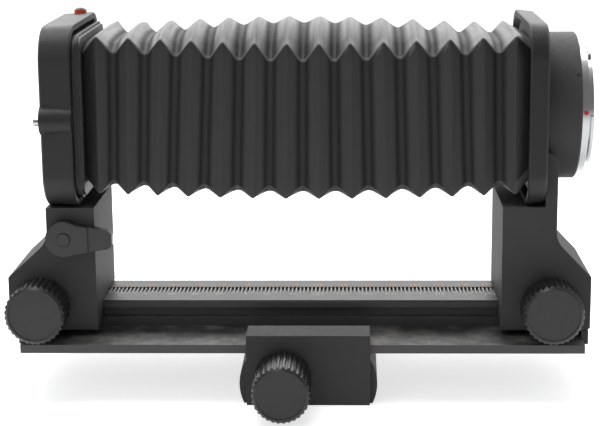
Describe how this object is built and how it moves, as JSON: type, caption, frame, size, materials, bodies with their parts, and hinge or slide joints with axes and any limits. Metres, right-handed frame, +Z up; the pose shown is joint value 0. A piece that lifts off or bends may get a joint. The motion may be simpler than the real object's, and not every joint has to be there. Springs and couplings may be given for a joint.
{
  "type": "macro bellows unit",
  "caption": "Pleated bellows between a lens standard and a camera standard that run by rack and pinion on a scaled rail, which itself runs through a tripod block.",
  "frame": {"origin": "mouth of the tripod thread, in the flat bottom of the tripod block", "axes": "+X along the rail from the lens side to the camera side, +Y away from the knobs, +Z up"},
  "size_m": [0.2288, 0.1302, 0.148],
  "materials": {
    "casting": "satin",
    "plate": "satin",
    "rail_black": "semi-gloss",
    "knob": "satin",
    "cloth": "matte",
    "cuff": "matte",
    "steel": "brushed",
    "chrome": "polished",
    "brass": "satin",
    "red": "gloss"
  },
  "bodies": {
    "block": {"block_body": "casting", "block_jaw": "casting", "jaw_screws": "steel", "tripod_bush": "steel", "block_bush": "brass"},
    "block_drive": {"block_knob": "knob", "block_pinion": "steel"},
    "block_lock": {"block_lock": "knob"},
    "rail": {"base_plate": "plate", "rail": "rail_black", "top_rack": "steel", "block_rack": "steel", "lens_end_cap": "casting", "camera_end_cap": "casting", "plate_screws": "steel", "cap_screws": "steel", "lens_bellows": "cloth", "camera_bellows": "cloth"},
    "lens_stand": {"lens_standard": "casting", "lens_frame": "casting", "lens_cuff": "cuff", "lens_ring": "chrome", "lens_ring_screws": "steel", "lens_gib": "brass", "lens_bush": "brass", "lever_pivot": "steel", "cable_socket": "chrome", "socket_ring": "red"},
    "lens_drive": {"lens_knob": "knob", "lens_pinion": "steel"},
    "lens_lock": {"lens_lock": "knob"},
    "lever": {"clamp_lever": "knob"},
    "button": {"release_button": "chrome"},
    "camera_stand": {"camera_standard": "casting", "camera_frame": "casting", "camera_cuff": "cuff", "drum": "casting", "camera_gib": "brass", "camera_bush": "brass"},
    "camera_drive": {"camera_knob": "knob", "camera_pinion": "steel"},
    "camera_lock": {"camera_lock": "knob"},
    "mount": {"camera_mount": "chrome", "mount_screws": "steel", "index_dot": "red"}
  },
  "joints": [
    {"name": "focus_slide", "type": "slide", "parent": "block", "child": "rail", "axis": [1, 0, 0], "range_m": [-0.009, 0.02]},
    {"name": "focus_knob_turn", "type": "hinge", "parent": "block", "child": "block_drive", "pos_m": [-0.0096, -0.058, 0.01192], "axis": [0, 1, 0], "range_deg": [-105, 230]},
    {"name": "block_lock_turn", "type": "hinge", "parent": "block", "child": "block_lock", "pos_m": [0, 0.05, 0.01192], "axis": [0, 1, 0], "range_deg": [0, 180]},
    {"name": "lens_slide", "type": "slide", "parent": "rail", "child": "lens_stand", "axis": [1, 0, 0], "range_m": [0, 0.048], "deforming": ["lens_bellows"]},
    {"name": "lens_knob_turn", "type": "hinge", "parent": "lens_stand", "child": "lens_drive", "pos_m": [-0.1052, -0.04, 0.03642], "axis": [0, 1, 0], "range_deg": [-5, 905]},
    {"name": "lens_lock_turn", "type": "hinge", "parent": "lens_stand", "child": "lens_lock", "pos_m": [-0.1052, 0.03, 0.03642], "axis": [0, 1, 0], "range_deg": [0, 180]},
    {"name": "clamp_lever_turn", "type": "hinge", "parent": "lens_stand", "child": "lever", "pos_m": [-0.0947, -0.034, 0.06385], "axis": [0, 1, 0], "range_deg": [0, 60]},
    {"name": "release_press", "type": "slide", "parent": "lens_stand", "child": "button", "axis": [1, 0, 0], "range_m": [0, 0.0022], "stiffness_N_per_m": 300, "springref_m": -0.002},
    {"name": "camera_slide", "type": "slide", "parent": "rail", "child": "camera_stand", "axis": [1, 0, 0], "range_m": [-0.047, 0], "deforming": ["camera_bellows"]},
    {"name": "camera_knob_turn", "type": "hinge", "parent": "camera_stand", "child": "camera_drive", "pos_m": [0.0941, -0.04, 0.03642], "axis": [0, 1, 0], "range_deg": [-886, 5]},
    {"name": "camera_lock_turn", "type": "hinge", "parent": "camera_stand", "child": "camera_lock", "pos_m": [0.0941, 0.03, 0.03642], "axis": [0, 1, 0], "range_deg": [0, 180]},
    {"name": "mount_turn", "type": "hinge", "parent": "camera_stand", "child": "mount", "pos_m": [0.1067, 0, 0.11035], "axis": [1, 0, 0], "range_deg": [-90, 90]}
  ],
  "couplings": [
    {"joint": "focus_knob_turn", "follows": "focus_slide", "rad_per_m": 196.35},
    {"joint": "lens_knob_turn", "follows": "lens_slide", "rad_per_m": 327.25},
    {"joint": "camera_knob_turn", "follows": "camera_slide", "rad_per_m": 327.25}
  ]
}
